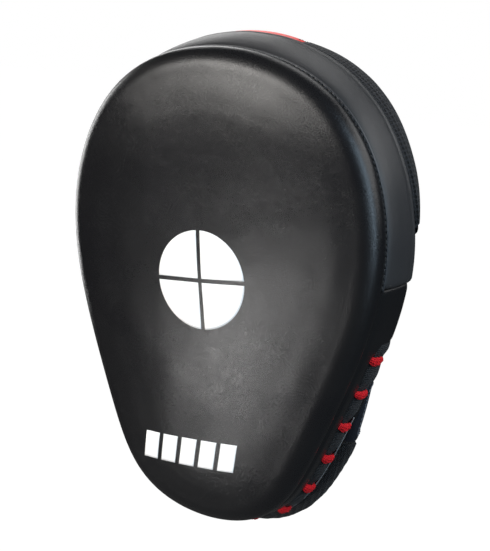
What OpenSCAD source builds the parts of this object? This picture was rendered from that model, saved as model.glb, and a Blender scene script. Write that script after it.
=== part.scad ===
// Focus mitt: a pear-shaped hand-held target pad with a mesh finger hood and a wrist strap.
// Millimetres. +Z runs up the mitt towards the finger tips, the strike face looks along -Y,
// and the origin is the palm centre on the rear panel's outer face.

/* [Pad outline] */
// Half width factor of the outline; the widest point is about this far from the axis
pad_half_width = 96; // [90:1:102]
// Height of the front seam's top above the palm centre
pad_top = 130; // [124:1:136]
// Depth of the front edge's lowest point below the palm centre
pad_bottom = 121; // [115:1:127]
// How far the rear edge stands above the front seam at the top
top_flare = 6.5; // [2:0.5:10]
// How far the rear edge hangs below the front edge at the bottom
bottom_flare = 10; // [4:0.5:12]
// How far the rear edge stands outside the front edge on each flank
flank_flare = 4.4; // [1:0.2:6]

/* [Pad thickness] */
// Distance from the rear panel to the front seam
seam_depth = 25; // [24:1:32]
// How far the strike face puffs out past the front seam
face_puff = 15; // [12:1:18]
// Thickness of the leather covers
leather = 1.5; // [1.0:0.1:2.0]

/* [Lower side] */
// Height at which the gusset ends and the face leather wraps round the side
cross_seam_z = 23; // [15:1:30]
// Height at which the laced strip starts
strip_top_z = -9; // [-14:1:-4]
// Distance from the rear face to the front edge of the laced strip
strip_front = 14; // [12:1:16]
// Width of the leather binding behind the laced strip
binding_width = 4; // [3:0.5:5]
// Number of lace stitches round the bottom
lace_count = 15; // [9:2:17]
// Thickness of the lace cord
lace_thickness = 4; // [3:0.5:5]

/* [Hood] */
// Height of the hood's open mouth above the palm centre
hood_mouth_z = 50; // [44:1:54]
// How far the hood stands behind the rear panel at its mouth
hood_height = 38; // [34:1:44]
// Thickness of the padded hood panels
hood_skin = 3.2; // [2.4:0.2:4.0]
// Half width of the coloured centre panel at the top edge
centre_half = 26; // [22:1:34]

/* [Wrist closure] */
// Height of the strap's upper edge
strap_top_z = -35; // [-38:1:-30]
// Width of the strap
strap_width = 35; // [28:1:36]
// Thickness of the strap
strap_thickness = 3; // [2:0.5:3]
// How far the closed strap stands behind the rear panel
strap_height = 42; // [38:1:48]
// Depth of the woven cushion under the wrist
cushion_depth = 14.5; // [11:0.5:16]
// Radius of the palm ball
ball_radius = 22; // [18:1:24]

/* [Prints] */
// Radius of the round target
target_radius = 26; // [20:1:30]
// How far the prints are turned on the face, to suit the hand's natural tilt
print_turn = 7; // [0:1:10]
// Width of the gaps that quarter the target
target_gap = 2.2; // [1.6:0.2:3]
// Number of slanted blocks in the plain stripe below the target
stripe_count = 5; // [3:1:6]

/* [Hidden] */

gap = 0.2;              // play left between neighbouring soft layers
print_thickness = 0.2;  // transfer print on the face

// ---- pad outline -------------------------------------------------------------------------
// The outline is followed by a turn angle: 0 at the top, 90 about the widest part, 180 at the
// bottom, and on round the other side.

pad_mid = (pad_top - pad_bottom) / 2;
pad_half_height = (pad_top + pad_bottom) / 2;

function outline_x(turn) =
    pad_half_width * sin(turn)
    * (1 + 0.16 * cos(turn) + 0.12 * cos(2 * turn) - 0.04 * cos(3 * turn) + 0.03 * cos(4 * turn));
function outline_z(turn) = pad_mid + pad_half_height * cos(turn);
function turn_at(z) = acos((z - pad_mid) / pad_half_height);

// Outward unit normal of the outline, as [x, z]
function outward(turn) =
    let (run = [outline_x(turn + 1) - outline_x(turn - 1), outline_z(turn + 1) - outline_z(turn - 1)])
    [-run.y, run.x] / norm(run);

function clamp01(v) = max(0, min(1, v));
function smooth(v) = let (c = clamp01(v)) c * c * (3 - 2 * c);

// How far the side wall has spread at depth y, as [x, z]; there is no spread at the front seam
function spread(turn, y) =
    clamp01((y + seam_depth) / seam_depth)
    * [flank_flare * sin(turn) * abs(sin(turn)),
        cos(turn) > 0 ? top_flare * pow(cos(turn), 2) : -bottom_flare * pow(cos(turn), 2)];

// A point inset from the outline, at depth y
function rim(turn, inset, y) =
    let (n = outward(turn), s = spread(turn, y))
    [outline_x(turn) - n.x * inset + s.x, y, outline_z(turn) - n.y * inset + s.y];

// The rear edge read by height: its half width, and its turn
rear_edge = [for (turn = [2:2:178]) let (p = rim(turn, 0, 0)) [p.z, p.x, turn]];
function half_width_at(z) = lookup(z, [for (e = rear_edge) [e[0], e[1]]]);
function rear_turn_at(z) = lookup(z, [for (e = rear_edge) [e[0], e[2]]]);

cross_turn = turn_at(cross_seam_z);
strip_turn = turn_at(strip_top_z);
seam_turn = 0.6;        // turn taken up by the cross seam
step_turn = 2.5;        // turn over which the wrap steps back to the laced strip
lower_turn = strip_turn + step_turn;

upper_turns = [for (k = [-12:12]) k * cross_turn / 12];
flank_turns = [for (k = [0:4]) lerp(cross_turn + seam_turn, strip_turn, k / 4)];
lower_turns = [for (k = [0:24]) lerp(lower_turn, 360 - lower_turn, k / 24)];
all_turns = concat(upper_turns, flank_turns, lower_turns, [for (k = [4:-1:0]) 360 - flank_turns[k]]);

function lerp(a, b, s) = a + (b - a) * s;
function steps(from, to, count) = [for (k = [0:count]) lerp(from, to, k / count)];
function ring(inset, y) = [for (turn = all_turns) rim(turn, inset, y)];

// ---- skins -------------------------------------------------------------------------------

// Closed skin through rings that run clockwise as seen from the first ring, capped at both ends
module loft(rings) {
    n = len(rings[0]);
    last = (len(rings) - 1) * n;
    walls = [for (k = [0:len(rings) - 2], i = [0:n - 1])
        let (a = k * n + i, b = k * n + (i + 1) % n)
        each [[a, a + n, b + n], [a, b + n, b]]];
    polyhedron([for (r = rings) each r],
        concat([[for (i = [0:n - 1]) i]], walls, [[for (i = [n - 1:-1:0]) last + i]]));
}

// Sheet between two grids of points; rows run clockwise round the pad and columns run back
module sheet(outer, inner) {
    rows = len(outer);
    cols = len(outer[0]);
    far = rows * cols;
    function at(i, j) = i * cols + j;
    skins = [for (i = [0:rows - 2], j = [0:cols - 2])
        let (a = at(i, j), b = at(i + 1, j), c = at(i + 1, j + 1), d = at(i, j + 1))
        each [[a, d, c], [a, c, b], [a + far, c + far, d + far], [a + far, b + far, c + far]]];
    long_edges = [for (i = [0:rows - 2])
        let (a = at(i, 0), b = at(i + 1, 0), c = at(i, cols - 1), d = at(i + 1, cols - 1))
        each [[a, b, b + far], [a, b + far, a + far], [c, d + far, d], [c, c + far, d + far]]];
    short_edges = [for (j = [0:cols - 2])
        let (a = at(0, j), b = at(0, j + 1), c = at(rows - 1, j), d = at(rows - 1, j + 1))
        each [[b, a, a + far], [b, a + far, b + far], [c, d, d + far], [c, d + far, c + far]]];
    polyhedron(concat([for (r = outer) each r], [for (r = inner) each r]),
        concat(skins, long_edges, short_edges));
}

// Sheet that lies in the side wall of the pad; each edge is a list of [inset, y]
module side_sheet(turns, outer_edge, inner_edge) {
    sheet([for (turn = turns) [for (e = outer_edge) rim(turn, e[0], e[1])]],
        [for (turn = turns) [for (e = inner_edge) rim(turn, e[0], e[1])]]);
}

// ---- strike pad --------------------------------------------------------------------------

face_y = -(seam_depth + face_puff);

// Profile of the puffed face from the flat middle to the seam, as [inset, share of the puff]
face_profile = [[20, 1], [12, 0.95], [6, 0.8], [2.2, 0.5], [0, 0.08]];

// The same profile moved inwards by the thickness of what lies over it
function face_ring(step, cover) =
    let (p = face_profile[step], lean = p[1] * p[1])
    ring(p[0] + cover * (1 - 0.6 * lean), -seam_depth - face_puff * p[1] + cover * lean);

// Depth to which the face leather wraps back round the side
function wrap_back(turn) =
    let (u = turn > 180 ? 360 - turn : abs(turn))
    u <= cross_turn ? -seam_depth : u < lower_turn - step_turn / 2 ? 0 : -strip_front;

function wrap_ring(inset) = [for (turn = all_turns) rim(turn, inset, wrap_back(turn))];

module strike_face_cover() {
    outer = [for (k = [0:4]) face_ring(k, 0)];
    inner = [for (k = [4:-1:0]) face_ring(k, leather)];
    color("#1b1b1d") loft(concat(outer, [wrap_ring(0), wrap_ring(leather)], inner));
}

foam_inset = leather + 1.1;
foam_split_y = -seam_depth + 2;
core_back_y = -strip_front - gap;
board_back_y = core_back_y - gap + 2;
panel_front_y = -1.6;

module face_foam() {
    front = [for (k = [0:4]) face_ring(k, leather + gap)];
    color("#d8d4c8") loft(concat(front, [ring(foam_inset, foam_split_y - gap)]));
}

// Flat layer of the stack, shaped to the outline
module layer(inset, front_y, back_y) {
    loft([ring(inset, front_y), ring(inset, back_y)]);
}

module core_foam() {
    color("#4a4a50") layer(foam_inset, foam_split_y, core_back_y);
}

module shock_board() {
    color("#c9ccd0") layer(foam_inset + 3, core_back_y + gap, board_back_y);
}

module rear_foam() {
    color("#8c8f94") layer(foam_inset, board_back_y + gap, panel_front_y - gap);
}

module rear_panel() {
    color("#232326") layer(leather + gap, panel_front_y, 0);
}

module side_gusset() {
    outer = [[0, -seam_depth + gap], [-0.9, -seam_depth * 0.7], [-0.9, -seam_depth * 0.3], [0, 0]];
    inner = [for (e = outer) [leather, e[1]]];
    color("#36373a") side_sheet(upper_turns, outer, inner);
}

piping_radius = 0.9;

module front_seam_piping() {
    centre = [-piping_radius - gap, -seam_depth];
    color("#5a5b60")
        loft([for (turn = upper_turns)
            [for (a = [0:60:300])
                rim(turn, centre[0] - piping_radius * cos(a), centre[1] - piping_radius * sin(a))]]);
}

module rear_binding() {
    outer = [[0, -binding_width], [0, 0]];
    inner = [[leather, -binding_width], [leather, 0]];
    color("#2a2b2e") side_sheet(lower_turns, outer, inner);
}

module lace_strip() {
    front = -strip_front + gap;
    back = -binding_width - gap;
    outer = [[0.9, front], [0.6, (front + back) / 2], [0.9, back]];
    inner = [for (e = outer) [foam_inset - gap, e[1]]];
    color("#101012") side_sheet(lower_turns, outer, inner);
}

// ---- lacing ------------------------------------------------------------------------------

lace_start_z = -17;     // height of the highest stitch
lace_reach = 4;         // half length of a stitch between its round ends
lace_mid_y = -(strip_front + binding_width) / 2;

// Distance run along the outline from the top stitch, counted in small chords
lace_start_turn = turn_at(lace_start_z);
chord_turn = 1;
function chord(turn) =
    norm([outline_x(turn + chord_turn) - outline_x(turn), outline_z(turn + chord_turn) - outline_z(turn)]);
lace_turns = [for (turn = lace_start_turn, run = 0; turn <= 360 - lace_start_turn;
    run = run + chord(turn), turn = turn + chord_turn) [run, turn]];
lace_run = lace_turns[len(lace_turns) - 1][0];

// A round-ended length of cord between the points a and b
module cord(a, b, r) {
    run = b - a;
    translate(a) rotate([0, acos(run[2] / norm(run)), atan2(run[1], run[0])]) {
        cylinder(r = r, h = norm(run), $fn = 32);
        for (end = [0, norm(run)]) translate([0, 0, end]) sphere(r = r, $fn = 32);
    }
}

// Each stitch lies along the side wall, so it leans as the wall spreads
module red_lacing() {
    r = lace_thickness / 2;
    color("#c81a20")
        for (k = [0:lace_count - 1]) {
            turn = lookup(lace_run * k / (lace_count - 1), lace_turns);
            cord(rim(turn, -r - gap, lace_mid_y - lace_reach),
                rim(turn, -r - gap, lace_mid_y + lace_reach), r);
        }
}

// ---- prints ------------------------------------------------------------------------------

// Lays a flat outline drawn in x and z on the middle of the strike face
module on_face() {
    translate([0, face_y, 0]) rotate([90, 0, 0]) linear_extrude(print_thickness) children();
}

target_mid = [-3, 14.5];   // middle of the target, as [x, z]

module target_print() {
    color("white") on_face() translate(target_mid) rotate(print_turn)
        difference() {
            circle(r = target_radius, $fn = 96);
            square([3 * target_radius, target_gap], center = true);
            square([target_gap, 3 * target_radius], center = true);
        }
}

stripe_mid = [-6, -81.5];  // middle of the stripe, as [x, z]
stripe_length = 65;
stripe_height = 16;
stripe_lean = 4;

module stripe_print() {
    pitch = (stripe_length - stripe_lean) / stripe_count;
    block = pitch * 0.78;
    color("white") on_face() translate(stripe_mid) rotate(print_turn)
        for (k = [0:stripe_count - 1])
            translate([k * pitch - stripe_length / 2, -stripe_height / 2])
                polygon([[0, 0], [block, 0], [block + stripe_lean, stripe_height], [stripe_lean, stripe_height]]);
}

// ---- hood --------------------------------------------------------------------------------

hood_turn = turn_at(hood_mouth_z) - 2.5; // the side corners, just short of the mouth's ends
hood_half = half_width_at(hood_mouth_z) + 0.3;
hood_base_y = 0.4;                       // the hood's seam on the rear edge
mouth_fullness = 1.7;                    // 1 is a pointed arch, 2 an ellipse
side_fullness = 3;                       // the same for the curve from the rear edge to the mouth
centre_turn = asin(centre_half / (pad_half_width * 1.27));
panel_gap_turn = 0.25;

// Height of the mouth's arch at a turn, under a skin of some thickness
function hood_arch(turn, skin) =
    let (x = abs(rim(turn, skin, 0).x) / (hood_half - skin))
    (hood_height - skin) * pow(max(0, 1 - pow(x, mouth_fullness)), 1 / mouth_fullness);

// A point on the hood: lift is 90 at the rear edge of the pad and 0 at the mouth
function hood_point(turn, lift, skin) =
    let (base = rim(turn, skin, 0))
    [base.x, hood_base_y + hood_arch(turn, skin) * pow(cos(lift), 2 / side_fullness),
        hood_mouth_z + (base.z - hood_mouth_z) * pow(sin(lift), 2 / side_fullness)];

module hood_sheet(from, to, count, outer_skin, inner_skin) {
    lifts = [90, 84, 74, 60, 45, 30, 16, 6, 0];
    sheet([for (turn = steps(from, to, count)) [for (lift = lifts) hood_point(turn, lift, outer_skin)]],
        [for (turn = steps(from, to, count)) [for (lift = lifts) hood_point(turn, lift, inner_skin)]]);
}

module hood_mesh_left() {
    color("#141416") hood_sheet(-hood_turn, -centre_turn - panel_gap_turn, 9, 0, hood_skin);
}

module hood_mesh_right() {
    color("#141416") hood_sheet(centre_turn + panel_gap_turn, hood_turn, 9, 0, hood_skin);
}

module hood_centre_panel() {
    color("#e02a22") hood_sheet(-centre_turn, centre_turn, 6, 0, hood_skin);
}

lining_skin = hood_skin + gap + 1;

module hood_lining() {
    color("#2b2b2e") hood_sheet(-hood_turn, hood_turn, 22, hood_skin + gap, lining_skin);
}

module hood_mouth_binding() {
    turns = steps(-hood_turn, hood_turn, 24);
    drops = [5, 2.6, 0.2];
    function edge(turn, skin, drop) =
        [rim(turn, skin, 0).x, hood_base_y + hood_arch(turn, skin), hood_mouth_z - drop];
    color("#0f0f10")
        sheet([for (turn = turns) [for (k = [2:-1:0]) edge(turn, -0.3, drops[k])]],
            [for (turn = turns) [for (k = [2:-1:0]) edge(turn, lining_skin + 0.3, drops[k])]]);
}

// ---- palm and wrist ----------------------------------------------------------------------

ball_sink = 4;          // how far the ball's centre lies inside the rear panel
ball_z = 2;

module palm_ball() {
    color("#1d1d20")
        intersection() {
            translate([0, -ball_sink, ball_z]) sphere(r = ball_radius, $fn = 64);
            translate([-ball_radius, gap, ball_z - ball_radius]) cube(2 * ball_radius);
        }
}

cushion_top_z = strap_top_z - strap_width - 2;
// Edge of the woven cushion from the rear panel to its crown, as [inset, share of the depth]
cushion_profile = [[2.4, 0.02], [-2, 0.2], [-4.5, 0.48], [-3, 0.76], [4, 0.94], [13, 1]];

function cushion_ring(inset, y) =
    let (start = rear_turn_at(cushion_top_z - max(0, inset)))
    [for (turn = steps(start, 360 - start, 28)) rim(turn, inset, y)];
function cushion_rings(cover) =
    [for (p = cushion_profile) cushion_ring(p[0] + cover, cushion_depth * p[1] - cover * pow(p[1], 2))];

cushion_cover = 1.2;

module wrist_cushion_cover() {
    inner = cushion_rings(cushion_cover);
    color("#17171a")
        loft(concat([for (k = [len(inner) - 1:-1:0]) inner[k]], cushion_rings(0)));
}

module wrist_cushion_foam() {
    color("#9a9a9e") loft(cushion_rings(cushion_cover + gap));
}

// The strap bends round an arch; along is 0 at the right root and 180 at the left root
strap_bottom_z = strap_top_z - strap_width;
root_outset_top = -3.5;   // how far the roots stand outside the rear edge at the top
root_outset_bottom = 3.5; // and at its bottom
root_angle = 2;
pivot_angle = 11;
fold_angle = 3.4;        // room left for the strap to fold at its root
flap_angle = 115;
strap_end_angle = 160;
closure_lift = 5.8;      // how far the strap lies over the flap and its two patches

function closure_point(z, along, lift) =
    let (down = (strap_top_z - z) / strap_width,
        half = half_width_at(z) + lerp(root_outset_top, root_outset_bottom, down))
    [(half + lift) * cos(along), (strap_height + lift) * sin(along), z];

// The strap rises from its root's height to its place over the flap between these angles
rise_start = 55;
rise_span = 55;
function strap_lift(along) = closure_lift * smooth((along - rise_start) / rise_span);

module closure_sheet(from, to, count, top_z, bottom_z, outer_lift, inner_lift, rides = false) {
    levels = steps(top_z, bottom_z, 4);
    angles = steps(from, to, count);
    sheet([for (z = levels) [for (a = angles) closure_point(z, a, outer_lift + (rides ? strap_lift(a) : 0))]],
        [for (z = levels) [for (a = angles) closure_point(z, a, inner_lift + (rides ? strap_lift(a) : 0))]]);
}

half_strap = strap_thickness / 2;
patch_margin = 3;
patch_top_z = strap_top_z - patch_margin;
patch_bottom_z = strap_bottom_z + patch_margin;
patch_thickness = 1.1;
patch_gap = 0.08;        // glue line, so that the patches' facets clear the leather's
hook_patch_angles = [122, 156];
loop_patch_angles = [118, 158];
tab_end_angle = 168;
tab_margin = 7;          // the tab is this much narrower than the strap on each side
half_tab = 1;

module strap_anchor() {
    color("#1c1e24")
        closure_sheet(root_angle, pivot_angle - fold_angle, 2, strap_top_z, strap_bottom_z,
            half_strap, -half_strap);
}

module wrist_strap() {
    color("#1c1e24")
        closure_sheet(pivot_angle, strap_end_angle, 26, strap_top_z, strap_bottom_z,
            half_strap, -half_strap, rides = true);
}

module strap_hook_patch() {
    outer_lift = closure_lift - half_strap - patch_gap;
    color("#0c0c0d")
        closure_sheet(hook_patch_angles[0], hook_patch_angles[1], 8, patch_top_z, patch_bottom_z,
            outer_lift, outer_lift - patch_thickness);
}

module strap_pull_tab() {
    color("#b81c20")
        closure_sheet(strap_end_angle, tab_end_angle, 2, strap_top_z - tab_margin,
            strap_bottom_z + tab_margin, closure_lift + half_tab, closure_lift - half_tab);
}

module closure_flap() {
    color("#1c1e24")
        closure_sheet(flap_angle, 180 - root_angle, 14, strap_top_z, strap_bottom_z,
            half_strap, -half_strap);
}

module closure_loop_patch() {
    inner_lift = half_strap + patch_gap;
    color("#0c0c0d")
        closure_sheet(loop_patch_angles[0], loop_patch_angles[1], 9, patch_top_z, patch_bottom_z,
            inner_lift + patch_thickness, inner_lift);
}

// ---- parts -------------------------------------------------------------------------------

strike_face_cover();
side_gusset();
face_foam();
core_foam();
shock_board();
rear_foam();
rear_panel();
front_seam_piping();
rear_binding();
target_print();
stripe_print();
lace_strip();
red_lacing();
hood_mesh_left();
hood_mesh_right();
hood_centre_panel();
hood_lining();
hood_mouth_binding();
palm_ball();
wrist_cushion_cover();
wrist_cushion_foam();
strap_anchor();
wrist_strap();
strap_hook_patch();
strap_pull_tab();
closure_flap();
closure_loop_patch();
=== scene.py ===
import math

import bmesh
import bpy
import numpy as np
from mathutils import Matrix, Vector, noise
from mathutils.bvhtree import BVHTree

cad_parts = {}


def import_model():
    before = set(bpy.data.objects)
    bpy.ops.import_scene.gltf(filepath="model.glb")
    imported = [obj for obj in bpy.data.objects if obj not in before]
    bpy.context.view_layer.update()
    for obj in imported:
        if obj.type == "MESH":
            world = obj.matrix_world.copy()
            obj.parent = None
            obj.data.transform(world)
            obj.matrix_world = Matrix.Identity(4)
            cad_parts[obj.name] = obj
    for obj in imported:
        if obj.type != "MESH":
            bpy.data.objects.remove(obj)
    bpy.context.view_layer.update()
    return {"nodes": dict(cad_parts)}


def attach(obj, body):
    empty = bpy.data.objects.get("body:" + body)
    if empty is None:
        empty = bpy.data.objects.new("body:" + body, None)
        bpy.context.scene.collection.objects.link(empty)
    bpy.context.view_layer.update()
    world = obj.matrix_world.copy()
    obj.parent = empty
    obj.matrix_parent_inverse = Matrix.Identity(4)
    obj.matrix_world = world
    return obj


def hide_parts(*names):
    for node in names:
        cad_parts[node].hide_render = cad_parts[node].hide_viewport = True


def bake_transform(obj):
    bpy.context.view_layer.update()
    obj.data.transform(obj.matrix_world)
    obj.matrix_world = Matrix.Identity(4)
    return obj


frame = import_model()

rng = np.random.default_rng(11)

# Lengths below are millimetres until make() turns them into metres.
MM = 0.001

# ---- the pad's outline, as the CAD draws it ----------------------------------------------
# A turn angle follows the outline: 0 at the top, 180 at the bottom, then up the other side.
HALF_WIDTH, TOP, BOTTOM = 96.0, 130.0, 121.0
TOP_FLARE, BOTTOM_FLARE, FLANK_FLARE = 6.5, 10.0, 4.4
SEAM_Y = -25.0                 # depth of the front seam; the rear panel is at 0
MID_Z, HALF_HEIGHT = (TOP - BOTTOM) / 2, (TOP + BOTTOM) / 2


def outline(turn):
    t = np.radians(turn)
    x = HALF_WIDTH * np.sin(t) * (
        1 + 0.16 * np.cos(t) + 0.12 * np.cos(2 * t) - 0.04 * np.cos(3 * t) + 0.03 * np.cos(4 * t))
    return x, MID_Z + HALF_HEIGHT * np.cos(t)


def outward(turn):
    """Outward unit normal of the outline, as x and z."""
    x1, z1 = outline(turn + 1)
    x0, z0 = outline(turn - 1)
    run_x, run_z = x1 - x0, z1 - z0
    size = np.hypot(run_x, run_z)
    return -run_z / size, run_x / size


def rim(turn, inset, y):
    """Points inset from the outline at depth y; the side wall spreads towards the rear."""
    turn, inset, y = np.broadcast_arrays(*(np.asarray(v, float) for v in (turn, inset, y)))
    x, z = outline(turn)
    nx, nz = outward(turn)
    s, c = np.sin(np.radians(turn)), np.cos(np.radians(turn))
    back = np.clip((y - SEAM_Y) / -SEAM_Y, 0, 1)
    x = x - nx * inset + back * FLANK_FLARE * s * abs(s)
    z = z - nz * inset + back * np.where(c > 0, TOP_FLARE, -BOTTOM_FLARE) * c * c
    return np.stack([x, y, z], -1)


def turn_at(z):
    return math.degrees(math.acos((z - MID_Z) / HALF_HEIGHT))


CROSS_TURN = turn_at(23)       # the gusset's cross seam
STRIP_TURN = turn_at(-6)       # the wrap's rear edge starts to step forwards
STRIP_FULL = turn_at(-16)      # the laced strip has its full width
STRIP_FRONT = -14.0            # depth of the strip's front edge
_t = np.linspace(2, 178, 89)
_rear = rim(_t, 0, 0)


def half_width_at(z):
    return np.interp(-np.asarray(z, float), -_rear[:, 2], _rear[:, 0])


def rear_turn_at(z):
    return float(np.interp(-z, -_rear[:, 2], _t))


# ---- mesh helpers ------------------------------------------------------------------------
def smooth01(v):
    c = np.clip(v, 0, 1)
    return c * c * (3 - 2 * c)


def run_along(points):
    """Length along a row of points, from its start."""
    return np.concatenate([[0], np.cumsum(np.linalg.norm(np.diff(points, axis=0), axis=1))])


def spline(points, count):
    """Catmull-Rom curve through the points, resampled to count points along its length."""
    p = np.asarray(points, float)
    q = np.vstack([2 * p[0] - p[1], p, 2 * p[-1] - p[-2]])
    out = []
    for k in range(1, len(q) - 2):
        a, b, c, d = q[k - 1], q[k], q[k + 1], q[k + 2]
        s = np.linspace(0, 1, 16, endpoint=False)[:, None]
        out.append(0.5 * (2 * b + (c - a) * s + (2 * a - 5 * b + 4 * c - d) * s ** 2
                          + (3 * b - a - 3 * c + d) * s ** 3))
    out = np.vstack(out + [p[-1:]])
    run = run_along(out)
    at = np.linspace(0, run[-1], count)
    return np.stack([np.interp(at, run, out[:, k]) for k in range(out.shape[1])], -1)


def make(name, verts, faces, material, body, flow=None, smooth=True):
    """A mesh object from millimetre points that rides on a body; flow holds surface coordinates."""
    me = bpy.data.meshes.new(name)
    me.from_pydata((np.asarray(verts).reshape(-1, 3) * MM).tolist(), [], faces)
    me.validate()
    if smooth:
        me.polygons.foreach_set("use_smooth", [True] * len(me.polygons))
    if flow is not None:
        at = me.attributes.new("flow", "FLOAT_VECTOR", "POINT")
        at.data.foreach_set("vector", (np.asarray(flow, float).reshape(-1, 3) * MM).ravel())
    ob = bpy.data.objects.new(name, me)
    bpy.context.scene.collection.objects.link(ob)
    ob.data.materials.append(material)
    if body:
        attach(ob, body)
    return ob


def grid_faces(rows, cols, wrap_rows=False, wrap_cols=False, start=0):
    """Quads of a grid whose rows run clockwise round the pad and whose columns run back."""
    out = []
    for i in range(rows if wrap_rows else rows - 1):
        for j in range(cols if wrap_cols else cols - 1):
            a, b = i * cols + j, ((i + 1) % rows) * cols + j
            c, d = ((i + 1) % rows) * cols + (j + 1) % cols, i * cols + (j + 1) % cols
            out.append([start + v for v in (a, b, c, d)])
    return out


def grid_flow(p):
    """Lengths run along the rows and along the columns of a grid of points, in millimetres."""
    v = np.zeros(p.shape[:2])
    v[:, 1:] = np.cumsum(np.linalg.norm(np.diff(p, axis=1), axis=2), axis=1)
    u = np.broadcast_to(run_along(p[:, p.shape[1] // 2])[:, None], v.shape)
    return np.stack([u, v, 0 * v], -1)


def thicken(ob, thickness):
    """Gives a surface its thickness, inwards."""
    mod = ob.modifiers.new("thickness", "SOLIDIFY")
    mod.thickness = thickness * MM
    mod.offset = -1
    mod.use_even_offset = False


def sheet(name, p, material, body, thickness=0.0, **wraps):
    """A surface from a grid of points, thickened inwards."""
    ob = make(name, p, grid_faces(p.shape[0], p.shape[1], **wraps), material, body, grid_flow(p))
    if thickness:
        thicken(ob, thickness)
    return ob


def side_grid(turns, profile):
    """Grid of points for a band of the side wall; profile is a list of inset and y."""
    profile = np.asarray(profile, float)
    return rim(np.asarray(turns)[:, None], profile[None, :, 0], profile[None, :, 1])


def push_out(p, turns, amount):
    """Moves a grid's points outwards from the outline; its rows lie at the given turns."""
    nx, nz = outward(turns)
    p[..., 0] += nx[:, None] * amount
    p[..., 2] += nz[:, None] * amount


def frames(path, up):
    """Side and lift directions along a path; up is the direction held upwards."""
    tangent = np.gradient(path, axis=0)
    tangent /= np.linalg.norm(tangent, axis=1)[:, None]
    side = np.cross(tangent, up)
    side /= np.linalg.norm(side, axis=1)[:, None]
    return side, np.cross(side, tangent)


def tube_grid(path, up, wide, high, around=12):
    """Grid for a tube of elliptic section along a path."""
    side, lift = frames(path, up)
    phi = np.linspace(0, 2 * np.pi, around, endpoint=False)
    wide = np.broadcast_to(wide, len(path))[:, None, None]
    high = np.broadcast_to(high, len(path))[:, None, None]
    return (path[:, None] + side[:, None] * np.cos(phi)[None, :, None] * wide
            + lift[:, None] * np.sin(phi)[None, :, None] * high)


def tube_mesh(tubes):
    """Points, faces and surface coordinates of several capped tubes, as one mesh."""
    verts, faces, flow, start = [], [], [], 0
    for p in tubes:
        rows, cols = p.shape[:2]
        verts.append(p.reshape(-1, 3))
        flow.append(grid_flow(p).reshape(-1, 3) + [7.3 * len(flow), 0, 0])
        faces += grid_faces(rows, cols, wrap_cols=True, start=start)
        faces.append([start + j for j in range(cols - 1, -1, -1)])
        faces.append([start + (rows - 1) * cols + j for j in range(cols)])
        start += rows * cols
    return np.vstack(verts), faces, np.vstack(flow)


def outward_faces(ob):
    bm = bmesh.new()
    bm.from_mesh(ob.data)
    bmesh.ops.recalc_face_normals(bm, faces=bm.faces)
    bm.to_mesh(ob.data)
    bm.free()


REARWARD = np.array([[0, 1.0, 0]])


def tubes(name, parts, material, body):
    verts, faces, flow = tube_mesh(parts)
    ob = make(name, verts, faces, material, body, flow)
    outward_faces(ob)
    return ob


def stitches(name, lines, material, body, pitch=3.2, length=2.3, radius=0.36, sink=0.1):
    """Rows of thread dashes; each line is its path and the surface's outward direction there."""
    dashes = []
    for path, up in lines:
        up = np.broadcast_to(up, path.shape)
        run = run_along(path)
        for at in np.arange(pitch / 2, run[-1], pitch):
            s = at + np.array([-0.5, -0.36, 0, 0.36, 0.5]) * length
            p = np.stack([np.interp(s, run, path[:, k]) for k in range(3)], -1)
            n = np.array([np.interp(at, run, up[:, k]) for k in range(3)])
            n /= np.linalg.norm(n)
            p = p + n * np.array([-1.2, -0.1, 0.35, -0.1, -1.2])[:, None] * radius - n * sink
            size = radius * np.array([0.7, 1, 1.05, 1, 0.7])
            dashes.append(tube_grid(p, n[None], size, size, around=6))
    return tubes(name, dashes, material, body)


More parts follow.
